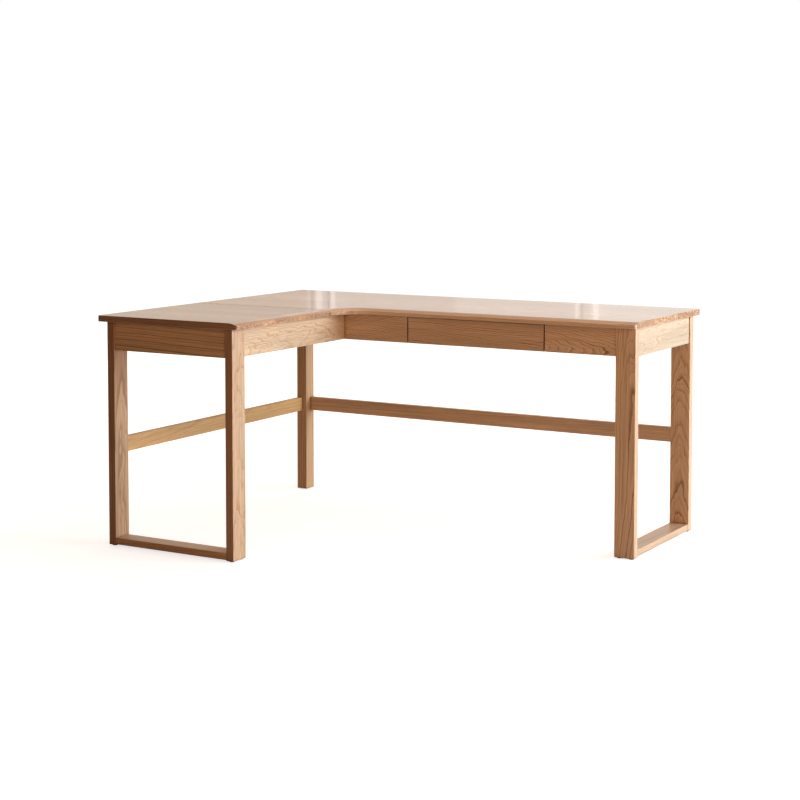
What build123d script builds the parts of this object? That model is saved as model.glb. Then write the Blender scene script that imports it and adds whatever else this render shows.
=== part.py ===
from build123d import *
import math
import os

# Corner desk in solid oak: a long run along the wall with a return that comes forward on the left.
# Millimetres. The origin is on the floor under the middle of the desk's outline, +X runs along
# the long side, +Y points to the wall behind the long run, +Z is up.

# ---- driving dimensions: the worktop
desk_length = 1600
desk_width = 1200
desk_height = 750
main_depth = 560
return_depth = 550
top_thickness = 20
inner_radius = 100
corner_radius = 8
seam_to_curve = 5
seam_gap = 0.2
seam_chamfer = 1.3
arris = 1.5
bevel_width = 32
bevel_drop = 8
bevel_crown = 1.6

# ---- how far the worktop stands out past the legs
end_overhang = 12
front_overhang = 30
inner_overhang = 26
back_overhang = 32
left_overhang = 30

# ---- legs, rails and stretchers
leg_wide = 68
leg_thick = 28
corner_leg_x = 42
corner_leg_y = 52
leg_ease = 2
foot_chamfer = 1.5
glide_height = 3
glide_radius = 9
glide_from_end = 14
glide_pin_length = 6
apron_height = 92
apron_setback = 5
apron_thick = leg_thick - apron_setback
board_ease = 1.5
foot_rail_thick = 22
foot_rail_lift = 5
foot_rail_inset = 2
stretcher_bottom = 300
stretcher_height = 50
stretcher_thick = 20

# ---- joints in the wood
tenon_length = 15
tenon_thick = 10
tenon_shoulder = 9
fit_gap = 0.1
dowel_radius = 4
dowel_length = 36
dowel_heights = (660, 706)

# ---- the drawer and its slides
drawer_front_width = 499
drawer_gap = 4.5
drawer_side_length = 405
drawer_side_thick = 12
drawer_side_bottom = 648
drawer_side_height = 62
drawer_bottom_thick = 6
drawer_bottom_lift = 6
groove_depth = 6
drawer_rail_thick = 18
drawer_rail_lift = 2
small_dowel_radius = 3
small_dowel_length = 24
small_dowel_rise = 22
small_dowel_drop = 12
small_dowel_sunk = 4
finger_radius = 12
finger_width = 140
slide_length = 400
slide_start = 3
slide_depth = 12.7
slide_center = 680
slide_sheet = 1.2
slide_member_height = {"outer": 45, "middle": 38, "inner": 31}
middle_sheet = 1
middle_from_wall = 3.1
middle_to = 10.1
outer_to = 9.7
inner_from = 4.2
slide_screw_spots = (40, 200, 360)

# ---- steel fittings
bracket_size = 25
bracket_width = 18
bracket_sheet = 2
bracket_hole_at = 15
back_bracket_places = (-560, 0, 440)
side_bracket_places = (-420, -200, 100, 360)
inner_bracket_places = (-420, -200, 240)
end_bracket_places = (200, 440)
panel_bracket_place = 600
screw_radius = 1.75
screw_head_radius = 3.5
screw_head_height = 2
screw_length = 14
batten_width = 60
batten_thick = 18
batten_screw_length = 30
block_height = 60
block_thick = 28
block_clear = 4
bolt_radius = 4
bolt_in_leg = 30
nut_across = 13
nut_height = 6.5
washer_radius = 8
washer_height = 1.6

# ---- places that follow from them
x_left = -desk_length / 2
x_right = desk_length / 2
y_back = desk_width / 2
y_front = -desk_width / 2
y_user = y_back - main_depth
x_inner = x_left + return_depth
z_top = desk_height
z_under = desk_height - top_thickness
z_apron = z_under - apron_height
y_seam = y_user - inner_radius - seam_to_curve

x_frame_right = x_right - end_overhang
x_frame_left = x_left + left_overhang
y_frame_back = y_back - back_overhang
y_frame_front = y_front + end_overhang
y_frame_user = y_user + front_overhang
x_frame_inner = x_inner - inner_overhang

x_right_leg = x_frame_right - leg_wide
x_corner = x_frame_left + corner_leg_x
y_corner = y_frame_back - corner_leg_y
y_back_leg = y_frame_back - leg_thick
y_user_back = y_frame_user + leg_thick
x_outer_leg = x_frame_left + leg_thick
x_inner_leg = x_frame_inner - leg_thick
y_return_leg = y_frame_front + leg_wide

x_inner_apron = x_frame_inner - apron_setback
y_panel = y_frame_user + apron_setback
x_drawer = (x_inner_apron + x_right_leg) / 2
x_gap_left = x_drawer - drawer_front_width / 2 - drawer_gap
x_gap_right = x_drawer + drawer_front_width / 2 + drawer_gap


def block(x, y, z, along=None, ease=0):
    """A board between pairs of limits, with the edges that run along one axis eased."""
    board = Box(x[1] - x[0], y[1] - y[0], z[1] - z[0])
    board = Pos((x[0] + x[1]) / 2, (y[0] + y[1]) / 2, (z[0] + z[1]) / 2) * board
    if ease:
        board = fillet(board.edges().filter_by(along), ease)
    return board


def rod(start, direction, radius, length):
    """A round bar from a point, along a direction."""
    bar = Cylinder(radius, length, align=(Align.CENTER, Align.CENTER, Align.MIN))
    return Plane(origin=start, z_dir=direction).location * bar


def moved(point, direction, distance):
    """A point shifted along a direction."""
    return tuple(p + d * distance for p, d in zip(point, direction))


def opposite(direction):
    return tuple(-d for d in direction)


# ---- worktop -----------------------------------------------------------------------------

def bevel_section(plane):
    """What the rounded bevel takes off the user's edge: x runs in from the edge, y is up."""
    run = math.hypot(bevel_width, bevel_drop)
    crown_x = bevel_width / 2 - bevel_crown * bevel_drop / run
    crown_y = -bevel_drop / 2 + bevel_crown * bevel_width / run
    spare = 5
    crown = ThreePointArc((0, -bevel_drop), (crown_x, crown_y), (bevel_width, 0))
    outside = Polyline((bevel_width, 0), (bevel_width, spare), (-spare, spare),
                       (-spare, -bevel_drop), (0, -bevel_drop))
    return plane * make_face(crown + outside)


def front_bevel():
    """Cutter along the user's side of the long run."""
    start = x_inner + inner_radius
    plane = Plane(origin=(start, y_user, z_top), x_dir=(0, 1, 0), z_dir=(1, 0, 0))
    return extrude(bevel_section(plane), x_right - start + corner_radius)


def inner_bevel():
    """Cutter along the user's side of the return."""
    start = y_front - corner_radius
    plane = Plane(origin=(x_inner, start, z_top), x_dir=(-1, 0, 0), z_dir=(0, 1, 0))
    return extrude(bevel_section(plane), y_user - inner_radius - start)


def curve_bevel():
    """Cutter round the hollow curve that joins the two user's sides."""
    center = (x_inner + inner_radius, y_user - inner_radius)
    plane = Plane(origin=(center[0], y_user, z_top), x_dir=(0, 1, 0), z_dir=(1, 0, 0))
    return revolve(bevel_section(plane), Axis((center[0], center[1], 0), (0, 0, 1)), 90)


def worktop(path, seam_y):
    """A top from its outer path: a seam edge closes it, and the other edges are softened."""
    face = make_face(path + Line(path @ 1, path @ 0))
    board = extrude(Pos(0, 0, z_under) * face, top_thickness)
    flats = board.faces().filter_by(Axis.Z)
    loose = [e for e in flats.edges() if abs(e.center().Y - seam_y) > 0.01]
    board = fillet(loose, arris)
    board -= [front_bevel(), curve_bevel(), inner_bevel()]
    top = board.faces().sort_by(Axis.Z)[-1]
    seam_edge = [e for e in top.edges() if abs(e.center().Y - seam_y) < 0.01]
    return chamfer(seam_edge, seam_chamfer)


def main_top():
    """The long run with the corner it turns, up to the seam."""
    corners = [(x_left, y_seam), (x_left, y_back), (x_right, y_back), (x_right, y_user),
               (x_inner, y_user), (x_inner, y_seam)]
    radii = [corner_radius, corner_radius, corner_radius, inner_radius]
    return worktop(FilletPolyline(*corners, radius=radii), y_seam)


def return_top():
    """The separate top of the return, in front of the seam."""
    edge = y_seam - seam_gap
    corners = [(x_inner, edge), (x_inner, y_front), (x_left, y_front), (x_left, edge)]
    return worktop(FilletPolyline(*corners, radius=corner_radius), edge)


# ---- legs, rails, aprons -------------------------------------------------------------------

def leg(x, y):
    """A leg from its glide to the worktop, with eased edges and a chamfered foot."""
    post = block(x, y, (glide_height, z_under), Axis.Z, leg_ease)
    return chamfer(post.faces().sort_by(Axis.Z)[0].edges(), foot_chamfer)


def tenoned(x, y, z, ease=board_ease):
    """A rail along its longer side, with a tongue at both ends. Returns rail and tongues."""
    along_x = x[1] - x[0] > y[1] - y[0]
    axis = Axis.X if along_x else Axis.Y
    rail = block(x, y, z, axis, ease)
    thin = y if along_x else x
    if thin[1] - thin[0] < z[1] - z[0]:
        mid = (thin[0] + thin[1]) / 2
        side = (mid - tenon_thick / 2, mid + tenon_thick / 2)
        height = (z[0] + tenon_shoulder, z[1] - tenon_shoulder)
    else:
        mid = (z[0] + z[1]) / 2
        side = (thin[0] + tenon_shoulder, thin[1] - tenon_shoulder)
        height = (mid - tenon_thick / 2, mid + tenon_thick / 2)
    run = x if along_x else y
    tongues = []
    for low, high in ((run[0] - tenon_length, run[0]), (run[1], run[1] + tenon_length)):
        limits = ((low, high), side, height) if along_x else (side, (low, high), height)
        tongues.append(block(*limits))
    return rail + tongues, tongues


def mortised(post, tongues):
    """A leg with a pocket for each tongue that reaches into it."""
    for tongue in tongues:
        size = tongue.bounding_box().size
        pocket = Box(size.X + 2 * fit_gap, size.Y + 2 * fit_gap, size.Z + 2 * fit_gap)
        post -= Pos(tongue.center()) * pocket
    return post


# ---- steel fittings --------------------------------------------------------------------------

def angle_bracket(corner, a, b):
    """An angle of sheet steel: one plate runs along a, the other along b, each with a hole."""
    size, half = bracket_size, bracket_width / 2
    plates = block((0, size), (-half, half), (-bracket_sheet, 0))
    plates += block((0, bracket_sheet), (-half, half), (-size, 0))
    plates = fillet(plates.edges().filter_by(Axis.Y).sort_by(Axis.X)[1], bracket_sheet / 2)
    hole = screw_radius + 2 * fit_gap
    plates -= rod((bracket_hole_at, 0, -size), (0, 0, 1), hole, size)
    plates -= rod((0, 0, -bracket_hole_at), (1, 0, 0), hole, size)
    return Plane(origin=corner, x_dir=a, z_dir=opposite(b)).location * plates


def screw(point, direction, length=screw_length, head_height=screw_head_height):
    """A round-headed wood screw: its head sits on the point and its shank runs along direction."""
    shank = Cylinder(screw_radius, length, align=(Align.CENTER, Align.CENTER, Align.MIN))
    tip = Pos(0, 0, length) * Cone(screw_radius, 0.3, 2 * screw_radius,
                                   align=(Align.CENTER, Align.CENTER, Align.MIN))
    head = Cylinder(screw_head_radius, head_height, align=(Align.CENTER, Align.CENTER, Align.MAX))
    head = fillet(head.edges().sort_by(Axis.Z)[0], head_height / 2)
    slot_depth = head_height * 0.6
    for width, depth in ((4, 0.9), (0.9, 4)):
        head -= Pos(0, 0, -head_height) * Box(width, depth, 2 * slot_depth)
    return Plane(origin=point, z_dir=direction).location * (head + shank + tip)


def screw_hole(point, direction, length=screw_length):
    """The hole that a screw's shank and tip fill."""
    return rod(point, direction, screw_radius + fit_gap / 2, length + 3 * screw_radius)


def slide_member(kind, side):
    """One steel channel of a drawer slide. side is -1 on the left and 1 on the right."""
    height = slide_member_height[kind]
    web_from = {"outer": 0, "middle": middle_from_wall, "inner": slide_depth - slide_sheet}[kind]
    reach = {"outer": (0, outer_to), "middle": (middle_from_wall, middle_to),
             "inner": (inner_from, slide_depth)}[kind]
    sheet = middle_sheet if kind == "middle" else slide_sheet
    low, high = slide_center - height / 2, slide_center + height / 2
    y = (y_user_back + slide_start, y_user_back + slide_start + slide_length)

    def across(limits):
        wall = x_gap_left if side < 0 else x_gap_right
        return tuple(sorted(wall - side * v for v in limits))

    channel = block(across((web_from, web_from + sheet)), y, (low, high))
    channel += block(across(reach), y, (low, low + sheet))
    channel += block(across(reach), y, (high - sheet, high))
    if kind != "middle":
        for spot in slide_screw_spots:
            start = (across((0, slide_depth))[0] - 1, y[0] + spot, slide_center)
            channel -= rod(start, (1, 0, 0), screw_radius + fit_gap, slide_depth + 2)
    return channel


# ---- wood, cut to shape and jointed -------------------------------------------------------------

z_apron_run = (z_apron, z_under)
z_foot_rail = (foot_rail_lift, foot_rail_lift + foot_rail_thick)
z_stretcher = (stretcher_bottom, stretcher_bottom + stretcher_height)
y_back_apron = (y_frame_back - apron_setback - apron_thick, y_frame_back - apron_setback)
x_side_apron = (x_frame_left + apron_setback, x_frame_left + apron_setback + apron_thick)
y_stretcher = (y_frame_back - leg_thick / 2 - stretcher_thick / 2,
               y_frame_back - leg_thick / 2 + stretcher_thick / 2)
x_stretcher = (x_frame_left + leg_thick / 2 - stretcher_thick / 2,
               x_frame_left + leg_thick / 2 + stretcher_thick / 2)

parts = {"main_top": main_top(), "return_top": return_top()}

parts["right_front_leg"] = leg((x_right_leg, x_frame_right), (y_frame_user, y_user_back))
parts["right_back_leg"] = leg((x_right_leg, x_frame_right), (y_back_leg, y_frame_back))
parts["return_outer_leg"] = leg((x_frame_left, x_outer_leg), (y_frame_front, y_return_leg))
parts["return_inner_leg"] = leg((x_inner_leg, x_frame_inner), (y_frame_front, y_return_leg))
parts["corner_leg"] = leg((x_frame_left, x_corner), (y_corner, y_frame_back))

rails = {
    "right_foot_rail": ((x_right_leg + foot_rail_inset, x_frame_right - foot_rail_inset),
                        (y_user_back, y_back_leg), z_foot_rail),
    "right_end_apron": ((x_frame_right - apron_setback - apron_thick, x_frame_right - apron_setback),
                        (y_user_back, y_back_leg), z_apron_run),
    "return_foot_rail": ((x_outer_leg, x_inner_leg),
                         (y_frame_front + foot_rail_inset, y_return_leg - foot_rail_inset), z_foot_rail),
    "return_front_apron": ((x_outer_leg, x_inner_leg),
                           (y_frame_front + apron_setback, y_frame_front + apron_setback + apron_thick),
                           z_apron_run),
    "back_stretcher": ((x_corner, x_right_leg), y_stretcher, z_stretcher),
    "side_stretcher": (x_stretcher, (y_return_leg, y_corner), z_stretcher),
}
tenon_legs = {
    "right_foot_rail": ("right_front_leg", "right_back_leg"),
    "right_end_apron": ("right_front_leg", "right_back_leg"),
    "return_foot_rail": ("return_outer_leg", "return_inner_leg"),
    "return_front_apron": ("return_outer_leg", "return_inner_leg"),
    "back_stretcher": ("corner_leg", "right_back_leg"),
    "side_stretcher": ("return_outer_leg", "corner_leg"),
}
for name, limits in rails.items():
    parts[name], tongues = tenoned(*limits)
    for post, tongue in zip(tenon_legs[name], tongues):
        parts[post] = mortised(parts[post], [tongue])

parts["back_apron"] = block((x_corner, x_right_leg), y_back_apron, z_apron_run, Axis.X, board_ease)
parts["outer_side_apron"] = block(x_side_apron, (y_return_leg, y_corner), z_apron_run, Axis.Y, board_ease)
parts["return_inner_apron"] = block((x_inner_leg, x_inner_apron), (y_return_leg, y_back_apron[0]),
                                    z_apron_run, Axis.Y, board_ease)
panel_y = (y_panel, y_panel + apron_thick)
parts["front_panel_left"] = block((x_inner_apron, x_gap_left), panel_y, z_apron_run, Axis.X, board_ease)
parts["front_panel_right"] = block((x_gap_right, x_right_leg), panel_y, z_apron_run, Axis.X, board_ease)

z_drawer_rail = (z_apron + drawer_rail_lift, z_under)
y_drawer_rail = (y_user_back, y_back_apron[0])
parts["drawer_rail_left"] = block((x_gap_left - drawer_rail_thick, x_gap_left), y_drawer_rail,
                                  z_drawer_rail, Axis.Y, board_ease)
parts["drawer_rail_right"] = block((x_gap_right, x_gap_right + drawer_rail_thick), y_drawer_rail,
                                   z_drawer_rail, Axis.Y, board_ease)
parts["seam_batten"] = block((x_side_apron[1], x_inner_leg),
                             (y_seam - batten_width / 2, y_seam + batten_width / 2),
                             (z_under - batten_thick, z_under), Axis.X, board_ease)

# ---- dowels across the knock-down joints --------------------------------------------------------

x_way, y_way, z_way = (1, 0, 0), (0, 1, 0), (0, 0, 1)
y_panel_mid = y_panel + apron_thick / 2
y_back_mid = sum(y_back_apron) / 2
x_side_mid = sum(x_side_apron) / 2
x_inner_mid = (x_inner_leg + x_inner_apron) / 2
dowel_joints = [
    ((x_right_leg, y_panel_mid), x_way, "front_panel_right", "right_front_leg"),
    ((x_right_leg, y_back_mid), x_way, "back_apron", "right_back_leg"),
    ((x_corner, y_back_mid), x_way, "back_apron", "corner_leg"),
    ((x_side_mid, y_corner), y_way, "outer_side_apron", "corner_leg"),
    ((x_side_mid, y_return_leg), y_way, "outer_side_apron", "return_outer_leg"),
    ((x_inner_mid, y_return_leg), y_way, "return_inner_apron", "return_inner_leg"),
]
dowels = []
for (x, y), way, *boards in dowel_joints:
    for z in dowel_heights:
        start = moved((x, y, z), way, -dowel_length / 2)
        dowels.append(rod(start, way, dowel_radius, dowel_length))
        hole = rod(moved(start, way, -0.5), way, dowel_radius + fit_gap / 2, dowel_length + 1)
        for board in boards:
            parts[board] -= hole
parts["apron_dowels"] = Compound(dowels)

seam_x = [x_side_apron[1] + (x_inner_leg - x_side_apron[1]) * part for part in (0.12, 0.5, 0.88)]
dowels = []
for x in seam_x:
    start = (x + 4 * dowel_radius, y_seam - seam_gap / 2 - dowel_length / 2, z_top - top_thickness / 2)
    dowels.append(rod(start, y_way, dowel_radius, dowel_length))
    hole = rod(moved(start, y_way, -0.5), y_way, dowel_radius + fit_gap / 2, dowel_length + 1)
    for board in ("main_top", "return_top"):
        parts[board] -= hole
parts["seam_dowels"] = Compound(dowels)

batten_screws = []
for x in seam_x:
    for y, board in ((y_seam - batten_width / 4, "return_top"), (y_seam + batten_width / 4, "main_top")):
        start = (x, y, z_under - batten_thick)
        batten_screws.append(screw(start, z_way, batten_screw_length - 2 * screw_radius))
        hole = screw_hole(start, z_way, batten_screw_length - 2 * screw_radius)
        parts["seam_batten"] -= hole
        parts[board] -= hole
parts["seam_batten_screws"] = Compound(batten_screws)

# ---- angle brackets that hold the tops down and tie the rails together ------------------------------

down = (0, 0, -1)
left_way, front_way = (-1, 0, 0), (0, -1, 0)
x_end_inside = x_frame_right - apron_setback - apron_thick
y_return_inside = y_frame_front + apron_setback + apron_thick
brackets = []
for x in back_bracket_places:
    brackets.append(((x, y_back_apron[0], z_under), front_way, down, "main_top", "back_apron"))
for y in side_bracket_places:
    top = "main_top" if y > y_seam else "return_top"
    brackets.append(((x_side_apron[1], y, z_under), x_way, down, top, "outer_side_apron"))
for y in inner_bracket_places:
    top = "main_top" if y > y_seam else "return_top"
    brackets.append(((x_inner_leg, y, z_under), left_way, down, top, "return_inner_apron"))
brackets.append((((x_outer_leg + x_inner_leg) / 2, y_return_inside, z_under), y_way, down,
                 "return_top", "return_front_apron"))
for y in end_bracket_places:
    brackets.append(((x_end_inside, y, z_under), left_way, down, "main_top", "right_end_apron"))
brackets.append((((x_inner_apron + x_gap_left) / 2, y_user_back, z_under), y_way, down,
                 "main_top", "front_panel_left"))
brackets.append(((panel_bracket_place, y_user_back, z_under), y_way, down, "main_top", "front_panel_right"))

z_middle = z_apron + apron_height / 2
x_rail_left = x_gap_left - drawer_rail_thick
x_rail_right = x_gap_right + drawer_rail_thick
ties = [
    ((x_inner_apron, y_user_back, z_middle), x_way, y_way, "front_panel_left", "return_inner_apron"),
    ((x_inner_apron, y_back_apron[0], z_middle), x_way, front_way, "back_apron", "return_inner_apron"),
    ((x_rail_left, y_user_back, z_middle), left_way, y_way, "front_panel_left", "drawer_rail_left"),
    ((x_rail_right, y_user_back, z_middle), x_way, y_way, "front_panel_right", "drawer_rail_right"),
    ((x_rail_left, y_back_apron[0], z_middle), left_way, front_way, "back_apron", "drawer_rail_left"),
    ((x_rail_right, y_back_apron[0], z_middle), x_way, front_way, "back_apron", "drawer_rail_right"),
]
plates, screws = [], []
for corner, a, b, board_a, board_b in brackets + ties:
    plates.append(angle_bracket(corner, a, b))
    for along, off, board in ((a, b, board_a), (b, a, board_b)):
        start = moved(moved(corner, along, bracket_hole_at), off, bracket_sheet)
        screws.append(screw(start, opposite(off)))
        parts[board] -= screw_hole(start, opposite(off))
parts["angle_brackets"] = Compound(plates)
parts["bracket_screws"] = Compound(screws)

# ---- corner block, with the bolt that pulls the corner leg in --------------------------------------

bolt_way = (-math.sqrt(0.5), math.sqrt(0.5), 0)
inner_face = x_corner - y_corner + block_clear * math.sqrt(2)
outer_face = inner_face + block_thick * math.sqrt(2)
outline = Polyline((x_side_apron[1], x_side_apron[1] - inner_face),
                   (y_back_apron[0] + inner_face, y_back_apron[0]),
                   (y_back_apron[0] + outer_face, y_back_apron[0]),
                   (x_side_apron[1], x_side_apron[1] - outer_face), close=True)
corner_block = extrude(Pos(0, 0, z_middle - block_height / 2) * make_face(outline), block_height)
bolt_tip = moved((x_corner, y_corner, z_middle), bolt_way, bolt_in_leg)
bolt_length = bolt_in_leg + block_clear + block_thick + washer_height + nut_height + 3
bolt_end = moved(bolt_tip, bolt_way, -bolt_length)
bolt_hole = rod(bolt_end, bolt_way, bolt_radius + fit_gap, bolt_length + 1)
parts["corner_leg"] -= bolt_hole
parts["corner_block"] = corner_block - bolt_hole
parts["corner_bolt"] = rod(bolt_end, bolt_way, bolt_radius, bolt_length)
washer_at = moved((x_corner, y_corner, z_middle), bolt_way, -block_clear - block_thick - washer_height)
parts["corner_washer"] = rod(washer_at, bolt_way, washer_radius, washer_height) - bolt_hole
nut_face = Plane(origin=moved(washer_at, bolt_way, -nut_height), z_dir=bolt_way)
nut = extrude(nut_face * RegularPolygon(nut_across / 2, 6, major_radius=False), nut_height)
parts["corner_nut"] = nut - bolt_hole

# ---- drawer ---------------------------------------------------------------------------------------------

side_z = (drawer_side_bottom, drawer_side_bottom + drawer_side_height)
side_y = (y_user_back, y_user_back + drawer_side_length)
x_box = (x_gap_left + slide_depth, x_gap_right - slide_depth)
bottom_z = (drawer_side_bottom + drawer_bottom_lift,
            drawer_side_bottom + drawer_bottom_lift + drawer_bottom_thick)
bottom_x = (x_box[0] + drawer_side_thick - groove_depth, x_box[1] - drawer_side_thick + groove_depth)
bottom_y = (y_user_back - groove_depth, side_y[1])
groove = block((bottom_x[0] - fit_gap, bottom_x[1] + fit_gap), (bottom_y[0] - fit_gap, bottom_y[1] + 1),
               (bottom_z[0], bottom_z[1] + fit_gap))

drawer_front = block((x_gap_left + drawer_gap, x_gap_right - drawer_gap), panel_y,
                     (z_apron, z_under - drawer_gap), Axis.X, board_ease)
finger_pull = rod((x_drawer - finger_width / 2, panel_y[1] + 1, z_apron - 1), x_way,
                  finger_radius, finger_width)
parts["drawer_front"] = drawer_front - finger_pull - groove
parts["drawer_side_left"] = block((x_box[0], x_box[0] + drawer_side_thick), side_y, side_z,
                                  Axis.Y, board_ease) - groove
parts["drawer_side_right"] = block((x_box[1] - drawer_side_thick, x_box[1]), side_y, side_z,
                                   Axis.Y, board_ease) - groove
back_x = (x_box[0] + drawer_side_thick, x_box[1] - drawer_side_thick)
parts["drawer_back"] = block(back_x, (side_y[1] - drawer_side_thick, side_y[1]),
                             (bottom_z[1] + fit_gap, side_z[1]), Axis.X, board_ease / 2)
parts["drawer_bottom"] = block(bottom_x, bottom_y, bottom_z)

dowels = []
for x, board, way in ((x_box[0], "drawer_side_left", x_way), (x_box[1], "drawer_side_right", left_way)):
    side_mid = x + way[0] * drawer_side_thick / 2
    for z in (drawer_side_bottom + small_dowel_rise, side_z[1] - small_dowel_drop):
        joints = [((side_mid, y_user_back - small_dowel_length / 2, z), y_way, (board, "drawer_front")),
                  ((x + way[0] * small_dowel_sunk, side_y[1] - drawer_side_thick / 2, z), way,
                   (board, "drawer_back"))]
        for start, direction, boards in joints:
            dowels.append(rod(start, direction, small_dowel_radius, small_dowel_length))
            hole = rod(moved(start, direction, -0.5), direction, small_dowel_radius + fit_gap / 2,
                       small_dowel_length + 1)
            for name in boards:
                parts[name] -= hole
parts["drawer_dowels"] = Compound(dowels)

# ---- drawer slides ----------------------------------------------------------------------------------------

for side, word in ((-1, "left"), (1, "right")):
    for kind in slide_member_height:
        parts[f"slide_{kind}_{word}"] = slide_member(kind, side)

fixed_screws, moving_screws = [], []
slide_screw_length = 9
slide_head = 1.2
for wall, box_side, way, rail, side in (
        (x_gap_left, x_box[0], left_way, "drawer_rail_left", "drawer_side_left"),
        (x_gap_right, x_box[1], x_way, "drawer_rail_right", "drawer_side_right")):
    for spot in slide_screw_spots:
        y = y_user_back + slide_start + spot
        start = moved((wall, y, slide_center), way, -slide_sheet)
        fixed_screws.append(screw(start, way, slide_screw_length, slide_head))
        parts[rail] -= screw_hole(start, way, slide_screw_length)
        back = opposite(way)
        start = moved((box_side, y, slide_center), back, -slide_sheet)
        moving_screws.append(screw(start, back, slide_screw_length - 2, slide_head))
        parts[side] -= screw_hole(start, back, slide_screw_length - 2)
parts["slide_rail_screws"] = Compound(fixed_screws)
parts["slide_drawer_screws"] = Compound(moving_screws)

# ---- nylon glides under the legs ------------------------------------------------------------------------------

right_glide_x = (x_right_leg + glide_from_end, x_frame_right - glide_from_end)
return_glide_y = (y_frame_front + glide_from_end, y_return_leg - glide_from_end)
glide_spots = [("right_front_leg", x, (y_frame_user + y_user_back) / 2) for x in right_glide_x]
glide_spots += [("right_back_leg", x, (y_back_leg + y_frame_back) / 2) for x in right_glide_x]
glide_spots += [("return_outer_leg", (x_frame_left + x_outer_leg) / 2, y) for y in return_glide_y]
glide_spots += [("return_inner_leg", (x_inner_leg + x_frame_inner) / 2, y) for y in return_glide_y]
glide_spots += [("corner_leg", (x_frame_left + x_corner) / 2, (y_corner + y_frame_back) / 2)]
glides = []
for board, x, y in glide_spots:
    pad = rod((x, y, 0), z_way, glide_radius, glide_height)
    pad = chamfer(pad.edges().sort_by(Axis.Z)[0], 0.8)
    glides.append(pad + rod((x, y, glide_height), z_way, screw_radius, glide_pin_length))
    parts[board] -= rod((x, y, 0), z_way, screw_radius + fit_gap / 2, glide_height + glide_pin_length + 1)
parts["leg_glides"] = Compound(glides)

os.makedirs("parts", exist_ok=True)
for name, shape in parts.items():
    shape.label = name
    export_step(shape, f"parts/{name}.step")
print(len(parts), "sub-parts written")
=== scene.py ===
# %% [markdown]
# # A corner desk in pale oak
#
# The desk has a long run along the wall and a return that comes forward on the left. Its boards,
# joints and drawer are fixed by the design model, so this lesson never moves or resizes them. What is
# made here is how the desk looks: every board is cut from its own place in its own tree, the worktops
# are glued up from staves, the lacquer has a soft gloss, and the small steel fittings under the top
# are turned, punched and plated.

# %% Load the fixed frame
import math

import bmesh
import bpy
from mathutils import Matrix, Vector


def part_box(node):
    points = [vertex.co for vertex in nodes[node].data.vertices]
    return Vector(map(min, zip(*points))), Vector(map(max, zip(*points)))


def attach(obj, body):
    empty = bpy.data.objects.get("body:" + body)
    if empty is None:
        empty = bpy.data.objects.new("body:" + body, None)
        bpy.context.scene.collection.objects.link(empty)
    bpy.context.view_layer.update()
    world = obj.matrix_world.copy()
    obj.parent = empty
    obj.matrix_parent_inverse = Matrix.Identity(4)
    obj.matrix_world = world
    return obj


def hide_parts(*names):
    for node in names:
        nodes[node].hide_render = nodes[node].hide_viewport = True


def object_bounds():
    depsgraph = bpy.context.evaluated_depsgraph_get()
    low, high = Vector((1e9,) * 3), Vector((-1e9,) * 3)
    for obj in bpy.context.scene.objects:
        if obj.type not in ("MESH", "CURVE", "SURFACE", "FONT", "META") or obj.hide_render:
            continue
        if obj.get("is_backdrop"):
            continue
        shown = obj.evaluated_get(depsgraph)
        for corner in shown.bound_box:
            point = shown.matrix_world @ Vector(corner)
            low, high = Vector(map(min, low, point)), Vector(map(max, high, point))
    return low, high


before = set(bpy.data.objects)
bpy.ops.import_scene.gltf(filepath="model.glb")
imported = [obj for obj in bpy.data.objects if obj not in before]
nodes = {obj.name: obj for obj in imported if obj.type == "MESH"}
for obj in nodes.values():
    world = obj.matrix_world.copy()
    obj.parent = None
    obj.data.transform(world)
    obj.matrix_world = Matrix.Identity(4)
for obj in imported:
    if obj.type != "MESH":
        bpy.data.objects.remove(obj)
cad_low, cad_high = (Vector(corner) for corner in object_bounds())
print("design box, m:", [round(v, 3) for v in cad_high - cad_low])

# %% [markdown]
# ## The view
#
# Furniture is usually drawn from a little above the worktop, with a long lens, so that the legs stay
# upright and the far end doesn't shrink. A long lens from five or six metres does that here. The
# camera tips down only slightly, and a small lens shift slides the desk to the middle of the frame
# instead of tipping the camera more, which would make the legs lean together.

# %% Camera
camera_place = Vector((2.888, -4.988, 1.285))
camera_azimuth = math.radians(30.23)
camera_tip = math.radians(3.61)

camera = bpy.data.objects.new("camera", bpy.data.cameras.new("camera"))
bpy.context.scene.collection.objects.link(camera)
camera.location = camera_place
camera.rotation_euler = (math.radians(90) - camera_tip, 0, camera_azimuth)
camera.data.sensor_width = 36
camera.data.lens = 79.05
camera.data.shift_y = -0.175
bpy.context.scene.camera = camera
print("camera is", round((camera_place - (cad_low + cad_high) / 2).length, 2), "m from the desk")

# %% [markdown]
# ## Small helpers
#
# The floor, the finishes and the fittings are all built from node trees. These few functions add a
# node, connect it and do one step of arithmetic, so that each tree below reads like a recipe.

# %% Helpers for building node trees
white = (1, 1, 1, 1)


def add(tree, kind, inputs=None, **settings):
    """Adds a node. An input given a socket is linked, and any other input is set."""
    node = tree.nodes.new(kind)
    for name, value in settings.items():
        setattr(node, name, value)
    for key, value in (inputs or {}).items():
        if isinstance(value, bpy.types.NodeSocket):
            tree.links.new(value, node.inputs[key])
        else:
            node.inputs[key].default_value = value
    return node


def calc(tree, operation, first, second=0.0, third=0.0, clamp=False):
    """One step of arithmetic on numbers."""
    node = add(tree, "ShaderNodeMath", {0: first, 1: second, 2: third}, operation=operation)
    node.use_clamp = clamp
    return node.outputs[0]


def times(tree, first, second):
    return calc(tree, "MULTIPLY", first, second)


def minus(tree, first, second):
    return calc(tree, "SUBTRACT", first, second)


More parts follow.
